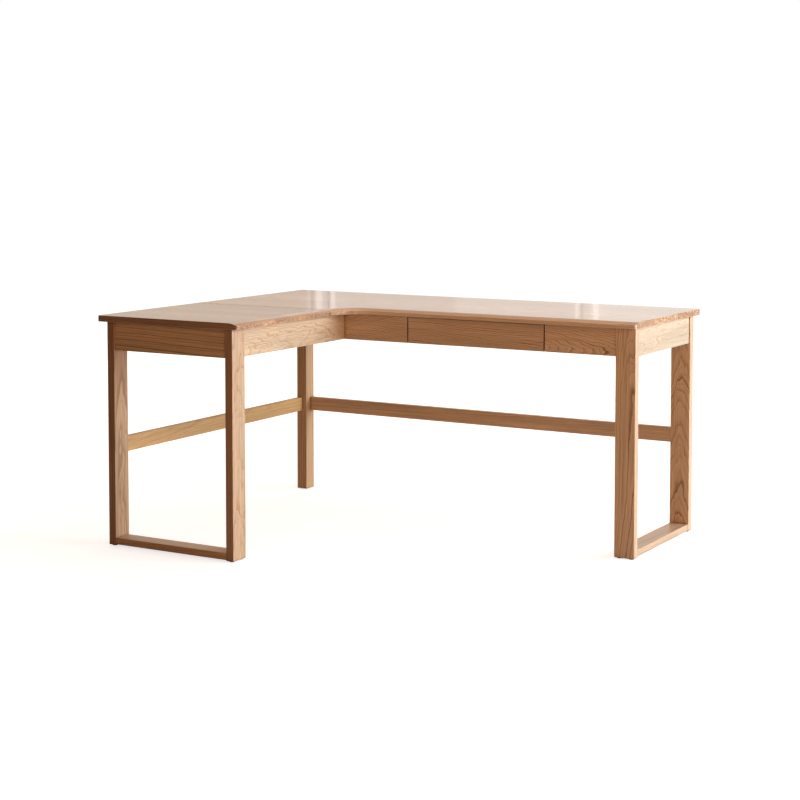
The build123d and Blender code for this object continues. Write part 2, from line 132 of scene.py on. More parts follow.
def vary(tree, chance, amount, middle=1.0):
    """A number that strays from the middle by up to half of the amount, as chance goes from 0 to 1."""
    return calc(tree, "MULTIPLY_ADD", minus(tree, chance, 0.5), amount, middle)


def combine(tree, x=0.0, y=0.0, z=0.0):
    """One vector from three numbers."""
    return add(tree, "ShaderNodeCombineXYZ", {"X": x, "Y": y, "Z": z}).outputs[0]


def separate(tree, vector):
    return add(tree, "ShaderNodeSeparateXYZ", {0: vector}).outputs


def vector_calc(tree, operation, first, second=(0, 0, 0), output=0):
    node = add(tree, "ShaderNodeVectorMath", {0: first, 1: second}, operation=operation)
    return node.outputs[output]


def blend(tree, factor, first, second, mode="MIX"):
    """Mixes two colours."""
    node = add(tree, "ShaderNodeMix", {0: factor, 6: first, 7: second}, data_type="RGBA",
               blend_type=mode)
    return node.outputs[2]


def smooth_step(tree, value, low, high):
    """0 under low, 1 over high, and a smooth change between them."""
    node = add(tree, "ShaderNodeMapRange", {"Value": value, "From Min": low, "From Max": high},
               interpolation_type="SMOOTHSTEP")
    return node.outputs["Result"]


def fade_out(tree, value, low, high):
    """1 under low, 0 over high, and a smooth change between them."""
    return minus(tree, 1.0, smooth_step(tree, value, low, high))


def grain_noise(tree, place, stretch, detail, roughness=0.6, output=0):
    """Noise with its own number of features for each metre along and across the grain."""
    noise = add(tree, "ShaderNodeTexNoise", {"Vector": vector_calc(tree, "MULTIPLY", place, stretch),
                                             "Scale": 1.0, "Detail": detail, "Roughness": roughness})
    return noise.outputs[output]


def new_group(name, inputs, outputs, tree_kind="ShaderNodeTree"):
    """An empty node group. inputs: name -> (kind, default), outputs: name -> kind."""
    group = bpy.data.node_groups.new(name, tree_kind)
    for label, (kind, default) in inputs.items():
        socket = group.interface.new_socket(label, in_out="INPUT", socket_type="NodeSocket" + kind)
        if default is not None:
            socket.default_value = default
    for label, kind in outputs.items():
        group.interface.new_socket(label, in_out="OUTPUT", socket_type="NodeSocket" + kind)
    return group, add(group, "NodeGroupInput").outputs, add(group, "NodeGroupOutput").inputs


def put_out(group, made, results):
    """Connects a group's results to its named outputs."""
    for label, socket in results.items():
        group.links.new(socket, made[label])
    print(group.name + ":", len(group.nodes), "nodes")


def use(tree, group, inputs):
    """Places a node group in a tree, and returns its outputs."""
    return add(tree, "ShaderNodeGroup", inputs, node_tree=group).outputs


def new_finish(name):
    """An empty material, its node tree, and the coordinates and normal of a point on the desk."""
    material = bpy.data.materials.new(name)
    material.use_nodes = True
    tree = material.node_tree
    return material, tree, add(tree, "ShaderNodeTexCoord").outputs

# %% [markdown]
# ## Light and floor
#
# The desk stands in a bright room with its windows to the right. One broad soft light on that side
# makes the faces that look right creamy and leaves the faces that look forward brown. A smaller one
# in front on the right fades towards the left end of the desk. Tall panels far behind the desk are
# what the lacquer mirrors at a low angle: they give the worktop its pale sheen. Narrow strips among
# them, some brighter and some dimmer, read as the edges of window curtains.

# %% Soft lights
def soft_light(name, place, aim, size, power, color=(1, 1, 1)):
    """An area light that looks at a point and that the camera doesn't see."""
    light = bpy.data.objects.new(name, bpy.data.lights.new(name, "AREA"))
    light.data.shape = "RECTANGLE"
    light.data.size, light.data.size_y = size
    light.data.energy = power
    light.data.color = color
    light.location = place
    light.rotation_euler = (Vector(aim) - Vector(place)).to_track_quat("-Z", "Y").to_euler()
    light.visible_camera = False
    bpy.context.scene.collection.objects.link(light)
    return light


day = (0.71, 0.87, 1.0)
warm = (1.0, 0.60, 0.33)
soft_light("window_right", (4.8, 1.6, 1.5), (0.2, 0.1, 0.4), (3.6, 2.6), 385, day)
soft_light("window_front_right", (3.1, -3.1, 1.9), (0.4, 0.0, 0.4), (1.6, 2.6), 50, warm)
soft_light("ceiling", (0.0, 0.5, 3.4), (0, 0.2, 0), (4.0, 2.6), 52, (1.0, 0.86, 0.72))
for name, place in (("room_left", (-4.6, 1.5, 1.5)), ("room_back", (-1.0, 4.6, 1.7))):
    bounce = soft_light(name, place, (0, 0, 0.5), (3.4, 2.4), 46, (1.0, 0.80, 0.60))
    bounce.visible_glossy = False

# %% Panels that the worktop mirrors
panel_low, panel_high = 0.3, 3.2


def far_panel(name, left, right, brightness, color=(1, 1, 1), distance=12.0):
    """A tall bright panel far behind the desk. left and right are degrees from the line of view."""
    turn = math.radians((left + right) / 2)
    width = 2 * distance * math.tan(math.radians(left - right) / 2)
    height = panel_high - panel_low
    way = Vector((-math.sin(camera_azimuth + turn), math.cos(camera_azimuth + turn), 0))
    place = camera_place + way * distance
    place.z = (panel_low + panel_high) / 2
    aim = Vector((camera_place.x, camera_place.y, place.z))
    soft_light(name, place, aim, (width, height), brightness * width * height, color)


far_panel("sheen_left", 14.0, 3.05, 1.85, (1.0, 0.90, 0.80))
for left, right, brightness in ((3.05, 2.92, 2.15), (2.92, 2.82, 1.35), (2.82, 2.38, 2.15),
                                (2.38, 2.29, 1.35), (2.29, -1.8, 2.15)):
    far_panel("sheen_middle", left, right, brightness, (1.0, 0.95, 0.90))
for left, right, brightness in ((-1.8, -5.90, 2.4), (-5.90, -5.98, 1.6), (-5.98, -6.2, 2.4)):
    far_panel("sheen_right", left, right, brightness, (1.0, 0.96, 0.92))
far_panel("sheen_end", -6.2, -14.0, 2.75, (1.0, 0.97, 0.94))
for name, left, right in (("curtain_a", 2.74, 2.55), ("curtain_b", 2.27, 2.12),
                          ("curtain_c", -5.72, -5.84), ("curtain_d", -6.3, -6.48)):
    far_panel(name, left, right, 1.0, distance=11.9)
print(len(bpy.data.lights), "lights and panels")

# %% Floor and surroundings
floor_reach = 60
floor_mesh = bpy.data.meshes.new("floor")
floor_mesh.from_pydata([(x * floor_reach, y * floor_reach, 0)
                        for x, y in ((-1, -1), (1, -1), (1, 1), (-1, 1))], [], [(0, 1, 2, 3)])
floor = bpy.data.objects.new("floor", floor_mesh)
bpy.context.scene.collection.objects.link(floor)
floor_finish, tree, here = new_finish("pale floor")
floor_shader = tree.nodes["Principled BSDF"]
for label, value in (("Base Color", (0.62, 0.56, 0.50, 1)), ("Roughness", 0.8),
                     ("Specular IOR Level", 0.2), ("Emission Color", white)):
    floor_shader.inputs[label].default_value = value
far = add(tree, "ShaderNodeVectorMath", {0: here["Object"]}, operation="LENGTH").outputs["Value"]
fade = add(tree, "ShaderNodeMapRange", {"Value": far, "From Min": 1.0, "From Max": 5.0,
                                        "To Min": 0.74, "To Max": 1.05}).outputs["Result"]
seen_directly = add(tree, "ShaderNodeLightPath").outputs["Is Camera Ray"]
tree.links.new(times(tree, seen_directly, fade), floor_shader.inputs["Emission Strength"])
floor_mesh.materials.append(floor_finish)
floor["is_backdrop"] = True

world = bpy.data.worlds.new("room")
world.use_nodes = True
bpy.context.scene.world = world
sky = world.node_tree
sky.nodes.clear()
seen = add(sky, "ShaderNodeBackground", {"Color": white})
ambient = add(sky, "ShaderNodeBackground", {"Color": (1.0, 0.66, 0.42, 1), "Strength": 0.09})
choice = add(sky, "ShaderNodeMixShader", {
    0: add(sky, "ShaderNodeLightPath").outputs["Is Camera Ray"], 1: ambient.outputs[0],
    2: seen.outputs[0]})
add(sky, "ShaderNodeOutputWorld", {"Surface": choice.outputs[0]})
bpy.context.scene.view_settings.view_transform = "Standard"

# %% [markdown]
# ## How the oak is drawn
#
# A board's figure isn't a picture on its faces: it is the tree's yearly rings, cut wherever the saw
# went. So the pattern here is a solid one. Rings are distances from a pith line that runs along the
# board, a little outside or inside it. A face that passes close to the pith shows tall arches, one
# that lies far from it shows straight lines, and the board's ends show arcs, all from one rule.
# Noise that is stretched along the grain makes the rings wander, and a taper closes the arches.
#
# Two node groups hold what every oak part shares. The first finds the rings, and the second adds
# fibres and pores. Each board then sets where it lies in its tree.

# %% Group: growth rings
growth = {"Vector": ("Vector", None), "Ring Width": ("Float", 0.006), "Pith Across": ("Float", 0.0),
          "Pith Through": ("Float", 0.06), "Taper": ("Float", 0.04), "Bend": ("Float", 0.02),
          "Swirl": ("Float", 0.006), "Seed": ("Float", 0.0)}
rings, given, made = new_group("growth rings", growth, {"Band": "Float", "Ring Tone": "Float"})
seed_shift = combine(rings, *(times(rings, given["Seed"], step) for step in (3.17, 1.73, 5.31)))
place = vector_calc(rings, "ADD", given["Vector"], seed_shift)


def push_by(amount, stretch, detail):
    """A random push of the pattern, by up to about half of the amount in each direction."""
    noise = grain_noise(rings, place, stretch, detail, 0.45, "Color")
    centered = vector_calc(rings, "SUBTRACT", noise, (0.5, 0.5, 0.5))
    node = add(rings, "ShaderNodeVectorMath", {0: centered, "Scale": amount}, operation="SCALE")
    return node.outputs[0]


# slow bends of the trunk, then the small swirls round buds and knots
bent = vector_calc(rings, "ADD", given["Vector"], push_by(given["Bend"], (1.7, 8, 8), 1.0))
bent = vector_calc(rings, "ADD", bent, push_by(given["Swirl"], (11, 42, 42), 2.0))
bent = separate(rings, bent)
across = minus(rings, bent["Y"], given["Pith Across"])
through = minus(rings, bent["Z"], given["Pith Through"])
radius = calc(rings, "SQRT", calc(rings, "ADD", times(rings, across, across),
                                  times(rings, through, through)))
radius = calc(rings, "MULTIPLY_ADD", bent["X"], given["Taper"], radius)
years = add(rings, "ShaderNodeTexNoise", {
    "W": calc(rings, "MULTIPLY_ADD", radius, 45.0, given["Seed"]), "Scale": 1.0, "Detail": 1.0},
    noise_dimensions="1D").outputs[0]
count = calc(rings, "DIVIDE", radius, given["Ring Width"])
count = calc(rings, "MULTIPLY_ADD", years, 2.0, count)


def ring_bands(count, rise):
    """A dark line at the start of each ring that fades outwards, each with a strength of its own."""
    ramp = add(rings, "ShaderNodeValToRGB", {"Fac": calc(rings, "FRACT", count)})
    stops = ramp.color_ramp.elements
    stops.remove(stops[1])
    for at, dark in ((0.0, 0.06), (rise, 1.0), (0.17, 0.85), (0.32, 0.28), (0.6, 0.06), (1.0, 0.0)):
        stop = stops[0] if at == 0 else stops.new(at)
        stop.color = (dark, dark, dark, 1)
    chance = add(rings, "ShaderNodeTexWhiteNoise", {"W": calc(rings, "FLOOR", count)},
                 noise_dimensions="1D").outputs["Value"]
    strength = calc(rings, "MULTIPLY_ADD", chance, 0.75, 0.25)
    return times(rings, ramp.outputs["Color"], strength), chance


# broad yearly rings, with three fainter lines to each
broad, ring_chance = ring_bands(count, 0.06)
fine = ring_bands(times(rings, count, 3.0), 0.12)[0]
put_out(rings, made, {"Band": calc(rings, "MAXIMUM", broad, times(rings, fine, 0.42)),
                      "Ring Tone": ring_chance})

# %% [markdown]
# Fibres are the fine streaks that run the length of a board. Pores are the short dark dashes that
# oak is known for, and they gather in the dark part of each ring. Both are noise that is squeezed
# across the grain and stretched along it. On an end they turn into dots without further work.

# %% Group: fibres and pores
fibres, given, made = new_group(
    "fibres and pores",
    {"Vector": ("Vector", None), "Band": ("Float", 0.0), "Seed": ("Float", 0.0)},
    {"Streaks": "Float", "Cloud": "Float", "Pores": "Float", "Mottle": "Float"})
place = vector_calc(fibres, "ADD", given["Vector"], combine(fibres, *[given["Seed"]] * 3))
dashes = smooth_step(fibres, grain_noise(fibres, place, (75, 1500, 1500), 1.0), 0.58, 0.70)
pores = times(fibres, dashes, calc(fibres, "MULTIPLY_ADD", given["Band"], 0.75, 0.25))
put_out(fibres, made, {"Streaks": grain_noise(fibres, place, (4.5, 260, 260), 4.0, 0.7),
                       "Cloud": grain_noise(fibres, place, (1.3, 16, 16), 2.0),
                       "Mottle": grain_noise(fibres, place, (20, 95, 150), 2.0),
                       "Pores": pores})

# %% [markdown]
# The third group puts them together as the colour, gloss and relief of one board. The ends of a
# board drink more lacquer, so they are darker, and the group takes that as a mask. Edges that hands
# and cloths have rubbed are a touch paler and glossier, and painted shade darkens the narrow places.

# %% Group: oak
pore_brown = (0.23, 0.12, 0.055, 1)
end_dark, end_pale = (0.70, 0.53, 0.45, 1), (0.98, 0.92, 0.88, 1)
rubbed_pale = (0.86, 0.74, 0.58, 1)
# the dark brown of painted shade in narrow places
painted_shade_brown = (0.10, 0.045, 0.02, 1)
oak, given, made = new_group(
    "oak",
    {**growth, "Pale": ("Color", (0.67, 0.45, 0.26, 1)), "Dark": ("Color", (0.34, 0.18, 0.08, 1)),
     "Figure": ("Float", 0.6), "Tone": ("Float", 0.0), "End": ("Float", 0.0),
     "Rubbed": ("Float", 0.0), "Painted Shade": ("Float", 0.0), "Gloss": ("Float", 0.35)},
    {"Color": "Color", "Roughness": "Float", "Height": "Float"})
ring = use(oak, rings, {label: given[label] for label in growth})
fibre = use(oak, fibres, {"Vector": given["Vector"], "Band": ring["Band"], "Seed": given["Seed"]})
dark_share = calc(oak, "MULTIPLY", ring["Band"], given["Figure"], clamp=True)
color = blend(oak, dark_share, given["Pale"], given["Dark"])
light_by = calc(oak, "ADD", given["Tone"], 1.0)
for chance, amount in ((fibre["Streaks"], 1.05), (fibre["Cloud"], 0.50), (ring["Ring Tone"], 0.07)):
    light_by = times(oak, light_by, vary(oak, chance, amount))
shade = add(oak, "ShaderNodeCombineColor", {"Red": light_by, "Green": light_by, "Blue": light_by})
color = blend(oak, 1.0, color, shade.outputs[0], "MULTIPLY")
color = blend(oak, times(oak, fibre["Pores"], 0.42), color, pore_brown)
soaked = blend(oak, smooth_step(oak, fibre["Mottle"], 0.40, 0.62), end_dark, end_pale)
color = blend(oak, given["End"], color, blend(oak, 1.0, color, soaked, "MULTIPLY"))
color = blend(oak, times(oak, given["Rubbed"], 0.30), color, rubbed_pale)
# painted shade: narrow places between parts are darkened
color = blend(oak, times(oak, given["Painted Shade"], 0.72), color, painted_shade_brown)
rough = calc(oak, "MULTIPLY_ADD", fibre["Pores"], 0.22, given["Gloss"])
rough = vary(oak, fibre["Streaks"], 0.10, rough)
rough = calc(oak, "MULTIPLY_ADD", given["Rubbed"], -0.05, rough)
height = calc(oak, "MULTIPLY_ADD", fibre["Streaks"], 0.22, times(oak, ring["Band"], -0.25))
height = calc(oak, "MULTIPLY_ADD", fibre["Pores"], -0.8, height)
put_out(oak, made, {"Color": color, "Roughness": rough, "Height": height})

# %% [markdown]
# ## Edges, ends and dust
#
# Where a face turns a corner, the shader's rounded normal differs from the real one. That difference
# is a cheap and reliable mask for edges. A board's end is known from its normal: it looks along the
# grain. Where two boards meet, the narrow place between them gets painted shade, and the share of
# nearby directions that are blocked tells where that is. All three are small groups, because every
# wooden part uses them.

# %% Group: where an edge is, where an end is, and where painted shade lies
edges, given, made = new_group("rubbed edge", {"Width": ("Float", 0.002)}, {"Mask": "Float"})
rounded = add(edges, "ShaderNodeBevel", {"Radius": given["Width"]}, samples=4).outputs[0]
true_normal = add(edges, "ShaderNodeNewGeometry").outputs["Normal"]
same = vector_calc(edges, "DOT_PRODUCT", rounded, true_normal, output="Value")
put_out(edges, made, {"Mask": smooth_step(edges, minus(edges, 1.0, same), 0.01, 0.25)})

ends, given, made = new_group("board end", {"Grain": ("Vector", (1, 0, 0))}, {"Mask": "Float"})
facing = add(ends, "ShaderNodeTexCoord").outputs["Normal"]
along = vector_calc(ends, "DOT_PRODUCT", facing, given["Grain"], output="Value")
put_out(ends, made, {"Mask": smooth_step(ends, calc(ends, "ABSOLUTE", along), 0.35, 0.85)})

# A mask of painted shade: where nearby directions are blocked, as under an overhang or where parts
# meet.
corners, given, made = new_group("painted corner shade", {"Reach": ("Float", 0.012)}, {"Mask": "Float"})
still_open = add(corners, "ShaderNodeAmbientOcclusion", {"Distance": given["Reach"]}, samples=6)
blocked = minus(corners, 1.0, still_open.outputs["AO"])
put_out(corners, made, {"Mask": smooth_step(corners, blocked, 0.24, 0.66)})

# %% [markdown]
# ## One finish for each board
#
# A mapping node turns the desk's own coordinates, so that in the pattern the first axis runs along
# the board's grain, the second across its face and the third through its thickness, with the board's
# middle at the origin. Two letters say how a board lies: "ZX" is a leg whose grain runs up and whose
# wide face lies along X. The board's place in the tree, its tone and its seed are then numbers on the
# group. A board can also have a deeper colour on its narrow sides, the faces that look across it:
# that is painted shade, for faces that get little light.

# %% Oak for a single board
ways = {"X": Vector((1, 0, 0)), "Y": Vector((0, 1, 0)), "Z": Vector((0, 0, 1))}
pale_oak = (0.71, 0.46, 0.285, 1)
dark_oak = (0.27, 0.115, 0.042, 1)


def lacquered(material, color, roughness, height, coat=0.12, coat_roughness=0.12, relief=0.00025):
    """Connects colour, roughness and relief to the material's shader, under a thin clear coat."""
    tree = material.node_tree
    shader = tree.nodes["Principled BSDF"]
    bump = add(tree, "ShaderNodeBump", {"Strength": 0.5, "Distance": relief, "Height": height})
    tree.links.new(color, shader.inputs["Base Color"])
    tree.links.new(roughness, shader.inputs["Roughness"])
    tree.links.new(bump.outputs[0], shader.inputs["Normal"])
    shader.inputs["Coat Weight"].default_value = coat
    shader.inputs["Coat Roughness"].default_value = coat_roughness


def board_space(tree, here, name, lie):
    """The desk's coordinates centred on a board and turned: along, across and through it."""
    low, high = (Vector(corner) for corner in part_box(name))
    along, across = ways[lie[0]], ways[lie[1]]
    turn = Matrix((along, across, along.cross(across))).to_euler()
    centered = vector_calc(tree, "SUBTRACT", here, tuple((low + high) / 2))
    return add(tree, "ShaderNodeMapping", {"Vector": centered, "Rotation": tuple(turn)},
               vector_type="POINT").outputs[0]


def with_painted_side_shade(tree, color, across, side):
    """Paints shade: deepens the colour where a face looks across the board, which is on its narrow
    sides.
    """
    narrow = use(tree, ends, {"Grain": ways[across]})["Mask"]
    return blend(tree, 1.0, color, blend(tree, narrow, white, side), "MULTIPLY")


def board_oak(name, lie, seed, pith=(0.0, 0.06), taper=0.03, bend=0.02, swirl=0.005,
              ring_width=0.0055, figure=0.75, tone=0.0, gloss=0.36, pale=pale_oak, dark=dark_oak,
              side=white):
    """The finish of one board, named after its part."""
    material, tree, here = new_finish("oak " + name)
    out = use(tree, oak, {
        "Vector": board_space(tree, here["Object"], name, lie), "Ring Width": ring_width,
        "Pith Across": pith[0], "Pith Through": pith[1], "Taper": taper, "Bend": bend,
        "Swirl": swirl, "Seed": seed, "Pale": pale, "Dark": dark, "Figure": figure, "Tone": tone,
        "End": use(tree, ends, {"Grain": ways[lie[0]]})["Mask"],
        "Rubbed": use(tree, edges, {"Width": 0.002})["Mask"],
        # painted shade where this board meets others
        "Painted Shade": use(tree, corners, {"Reach": 0.018})["Mask"], "Gloss": gloss})
    # side multiplies in a deeper colour on the narrow sides: painted shade
    color = with_painted_side_shade(tree, out["Color"], lie[1], side)
    lacquered(material, color, out["Roughness"], out["Height"])
    return material


def dress(name, material):
    """Gives a part of the design model its finish."""
    for slot in nodes[name].material_slots:
        slot.material = material


# %% [markdown]
# A face shows arches where it passes near the pith, and straight lines where the pith lies to its
# side. A large depth with more bend and swirl gives the closed islands of a board cut along the
# outside of a trunk. The right back leg shows tall arches, the short aprons swirl, and the return's
# front board is straight-grained.

# %% Frame boards
golden = (0.45, 0.21, 0.065, 1)
deep = (0.15, 0.055, 0.018, 1)
# painted shade for the narrow sides of boards
painted_side_shade = (0.58, 0.46, 0.38, 1)
boards = {
    "right_front_leg": dict(lie="ZX", seed=1.3, pith=(0.045, 0.07), taper=0.035, bend=0.045,
                            swirl=0.006, ring_width=0.0050, figure=0.95, tone=0.05),
    "right_back_leg": dict(lie="ZX", seed=7.9, pith=(0.004, 0.085), taper=0.075, bend=0.010,
                           swirl=0.009, ring_width=0.0046, figure=1.0, tone=0.04),
    "return_outer_leg": dict(lie="ZY", seed=12.1, pith=(0.01, 0.10), taper=0.012, figure=1.0,
                             tone=-0.14, pale=(0.71, 0.43, 0.24, 1), dark=deep, side=painted_side_shade),
    "return_inner_leg": dict(lie="ZY", seed=4.4, pith=(0.004, 0.09), taper=0.035, swirl=0.012,
                             ring_width=0.004, figure=0.85, tone=-0.08, dark=golden,
                             side=painted_side_shade),
    "corner_leg": dict(lie="ZX", seed=15.2, pith=(0.09, 0.09), taper=0.02, figure=1.0, tone=-0.10,
                       pale=(0.70, 0.41, 0.22, 1), dark=deep),
    "right_foot_rail": dict(lie="YX", seed=21.6, pith=(0.06, 0.08), taper=0.04, figure=0.6,
                            tone=-0.10),
    # this rail's narrow sides get a lighter painted shade
    "return_foot_rail": dict(lie="XY", seed=22.7, pith=(0.05, 0.07), taper=0.04,
                             side=(0.80, 0.70, 0.62, 1)),
    "right_end_apron": dict(lie="YZ", seed=31.5, pith=(0.01, -0.22), taper=0.02, bend=0.07,
                            swirl=0.018, ring_width=0.0042, figure=0.8,
                            pale=(0.63, 0.46, 0.32, 1), dark=golden),
    "return_front_apron": dict(lie="XZ", seed=33.8, pith=(-0.16, -0.06), bend=0.012, swirl=0.002,
                               ring_width=0.010, figure=1.0, tone=-0.10,
                               pale=(0.72, 0.42, 0.22, 1), dark=deep),
    "return_inner_apron": dict(lie="YZ", seed=35.1, pith=(-0.02, -0.14), taper=0.06, bend=0.035,
                               swirl=0.017, ring_width=0.0040, figure=0.9,
                               pale=(0.74, 0.52, 0.34, 1), dark=golden),
    "outer_side_apron": dict(lie="YZ", seed=37.2, pith=(0.02, 0.09), bend=0.04),
    "back_apron": dict(lie="XZ", seed=39.9, pith=(0.02, 0.10), bend=0.04),
    "front_panel_left": dict(lie="XZ", seed=41.3, pith=(0.07, -0.07), taper=0.16, bend=0.03,
                             swirl=0.007, ring_width=0.0040, figure=1.0, dark=deep),
    "front_panel_right": dict(lie="XZ", seed=43.7, pith=(-0.035, -0.07), taper=0.10, bend=0.03,
                              swirl=0.009, ring_width=0.0036, figure=1.0, tone=0.07, dark=deep),
    "drawer_front": dict(lie="XZ", seed=42.1, pith=(-0.09, -0.07), bend=0.03, swirl=0.008,
                         ring_width=0.0038, figure=1.0, tone=0.02, dark=deep),
    "back_stretcher": dict(lie="XZ", seed=51.8, pith=(0.14, 0.05), figure=0.5, tone=-0.03),
    "side_stretcher": dict(lie="YZ", seed=53.4, pith=(0.02, -0.09), bend=0.03, ring_width=0.004,
                           figure=0.7, tone=-0.02, pale=(0.70, 0.41, 0.17, 1), dark=golden),
    "drawer_rail_left": dict(lie="YZ", seed=61.0, pith=(0.03, 0.08)),
    "drawer_rail_right": dict(lie="YZ", seed=62.0, pith=(0.02, 0.08)),
    "seam_batten": dict(lie="XY", seed=63.0, pith=(0.03, 0.08)),
    "corner_block": dict(lie="XY", seed=64.0, pith=(0.03, 0.05)),
    "drawer_side_left": dict(lie="YZ", seed=71.0, pith=(0.03, 0.09), tone=0.06),
    "drawer_side_right": dict(lie="YZ", seed=72.0, pith=(0.02, 0.09), tone=0.06),
    "drawer_back": dict(lie="XZ", seed=73.0, pith=(0.02, 0.09), tone=0.06),
    "drawer_bottom": dict(lie="XY", seed=74.0, pith=(0.10, 0.12), tone=0.08),
}
for name, choice in boards.items():
    dress(name, board_oak(name, **choice))
print(len(boards), "boards have their own piece of the tree")

# %% [markdown]
# ## The worktops
#
# Each top is glued up from long staves about a hand's width across, all running along the desk. The
# stave number comes from the distance across the top, and it picks the stave's own tree, tone, shift
# along the grain and place beside the pith, so some staves show arches and others straight lines. A
# hair-thin darker line marks each glue joint. Both tops use the same rule in the desk's own
# coordinates, but with other seeds, so the pattern breaks at the seam as it should. The narrow gap of
# the seam is left without lacquer, so it is a matt line across the top and down over the bevel. Its
# dark colour is partly the joint's own and partly painted shade of the groove, drawn wider than the
# gap. The slope of the bevel that faces up is painted paler and pinker than the top: a painted
# highlight.

# %% Group: staves
staves, given, made = new_group(
    "staves",
    {"Vector": ("Vector", None), "Stave Width": ("Float", 0.09), "Seed": ("Float", 0.0)},
    {"Vector": "Vector", "Joint": "Float", "Tone": "Float", "Seed": "Float"})
split = separate(staves, given["Vector"])
across = calc(staves, "DIVIDE", split["Y"], given["Stave Width"])
uneven = add(staves, "ShaderNodeTexNoise", {
    "W": calc(staves, "MULTIPLY_ADD", across, 0.45, given["Seed"]), "Scale": 1.0, "Detail": 0.0},
    noise_dimensions="1D").outputs[0]
across = calc(staves, "MULTIPLY_ADD", uneven, 1.1, across)
number = calc(staves, "FLOOR", across)
within = minus(staves, calc(staves, "FRACT", across), 0.5)
chance = add(staves, "ShaderNodeTexWhiteNoise", {"W": calc(staves, "ADD", number, given["Seed"])},
             noise_dimensions="1D").outputs["Color"]
picked = add(staves, "ShaderNodeSeparateColor", {"Color": chance}).outputs
beside_pith = vary(staves, picked["Green"], 0.24, 0.0)
new_place = combine(staves, calc(staves, "MULTIPLY_ADD", picked["Red"], 3.0, split["X"]),
                    calc(staves, "MULTIPLY_ADD", within, given["Stave Width"], beside_pith),
                    calc(staves, "MULTIPLY_ADD", picked["Red"], 0.05, split["Z"]))
edge_distance = minus(staves, 0.5, calc(staves, "ABSOLUTE", within))
put_out(staves, made, {
    "Vector": new_place, "Joint": fade_out(staves, edge_distance, 0.002, 0.012),
    "Tone": minus(staves, picked["Blue"], 0.5),
    "Seed": calc(staves, "MULTIPLY_ADD", number, 7.7, given["Seed"])})

# %% Worktop finish
top_pale = (0.72, 0.48, 0.31, 1)
top_dark = (0.25, 0.11, 0.05, 1)
glue_brown = (0.2, 0.1, 0.05, 1)
bevel_highlight_pink = (0.90, 0.58, 0.42, 1)
seam_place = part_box("return_top")[1][1]
# The seam's dark line is partly painted shade of the groove, and it is wider than the gap itself.
seam_on_top, seam_on_bevel = 0.0020, 0.0055  # half the width of the dark line
full_coat = 0.6


def worktop_oak(name, seed, side=white):
    """The finish of one top: staves, the seam's dark line (partly painted shade), painted shade in
    corners and a painted highlight on the bevel.
    """
    material, tree, here = new_finish("oak " + name)
    space = board_space(tree, here["Object"], name, "XY")
    stave = use(tree, staves, {"Vector": space, "Stave Width": 0.088, "Seed": seed})

    slope = separate(tree, here["Normal"])["Z"]
    level = smooth_step(tree, calc(tree, "ABSOLUTE", slope), 0.985, 0.999)
    upper = smooth_step(tree, slope, 0.90, 0.94)
    bevelled = times(tree, upper, minus(tree, 1.0, level))
    from_seam = minus(tree, separate(tree, here["Object"])["Y"], seam_place)
    from_seam = calc(tree, "ABSOLUTE", from_seam)
    half_width = calc(tree, "MULTIPLY_ADD", level, seam_on_top - seam_on_bevel, seam_on_bevel)
    in_seam = fade_out(tree, calc(tree, "DIVIDE", from_seam, half_width), 0.5, 1.2)
    # painted shade in corners, and the seam's line, which is partly painted shade
    seam_and_painted_shade = calc(tree, "MAXIMUM", use(tree, corners, {"Reach": 0.012})["Mask"], in_seam)
    matt = calc(tree, "MAXIMUM", seam_and_painted_shade, fade_out(tree, from_seam, 0.004, 0.009))

    out = use(tree, oak, {
        "Vector": stave["Vector"], "Ring Width": 0.0055, "Pith Across": 0.008,
        "Pith Through": -0.11, "Taper": 0.03, "Bend": 0.018, "Swirl": 0.0035,
        "Seed": stave["Seed"], "Pale": top_pale, "Dark": top_dark, "Figure": 0.9,
        "Tone": times(tree, stave["Tone"], 0.30), "End": use(tree, ends, {"Grain": ways["X"]})["Mask"],
        "Rubbed": times(tree, use(tree, edges, {"Width": 0.001})["Mask"], 0.35),
        "Painted Shade": seam_and_painted_shade, "Gloss": 0.2})
    color = blend(tree, times(tree, stave["Joint"], 0.30), out["Color"], glue_brown)
    # painted shade on the top's front and back edges, where side is given
    color = with_painted_side_shade(tree, color, "Y", side)
    # painted highlight: the slope of the bevel that faces up is painted paler and pinker
    color = blend(tree, times(tree, bevelled, 0.55), color, bevel_highlight_pink)
    rough = calc(tree, "MULTIPLY_ADD", seam_and_painted_shade, 0.6, out["Roughness"])
    lacquered(material, color, rough, out["Height"], coat_roughness=0.06, relief=0.00008)
    clear = calc(tree, "MULTIPLY_ADD", matt, -full_coat, full_coat)
    tree.links.new(clear, tree.nodes["Principled BSDF"].inputs["Coat Weight"])
    return material


dress("main_top", worktop_oak("main_top", 2.0))
# the return top's front and back edges get painted shade
dress("return_top", worktop_oak("return_top", 9.0, side=painted_side_shade))

# %% [markdown]
# ## Steel, beech and nylon
#
# Under the top, thin zinc gives the steel a cool, slightly cloudy shine with rolling marks along
# the sheet. The marks are noise that is stretched one way. Beech has short darker flecks and no
# visible rings at this size. The glides are moulded nylon with a fine grain, scuffed underneath.

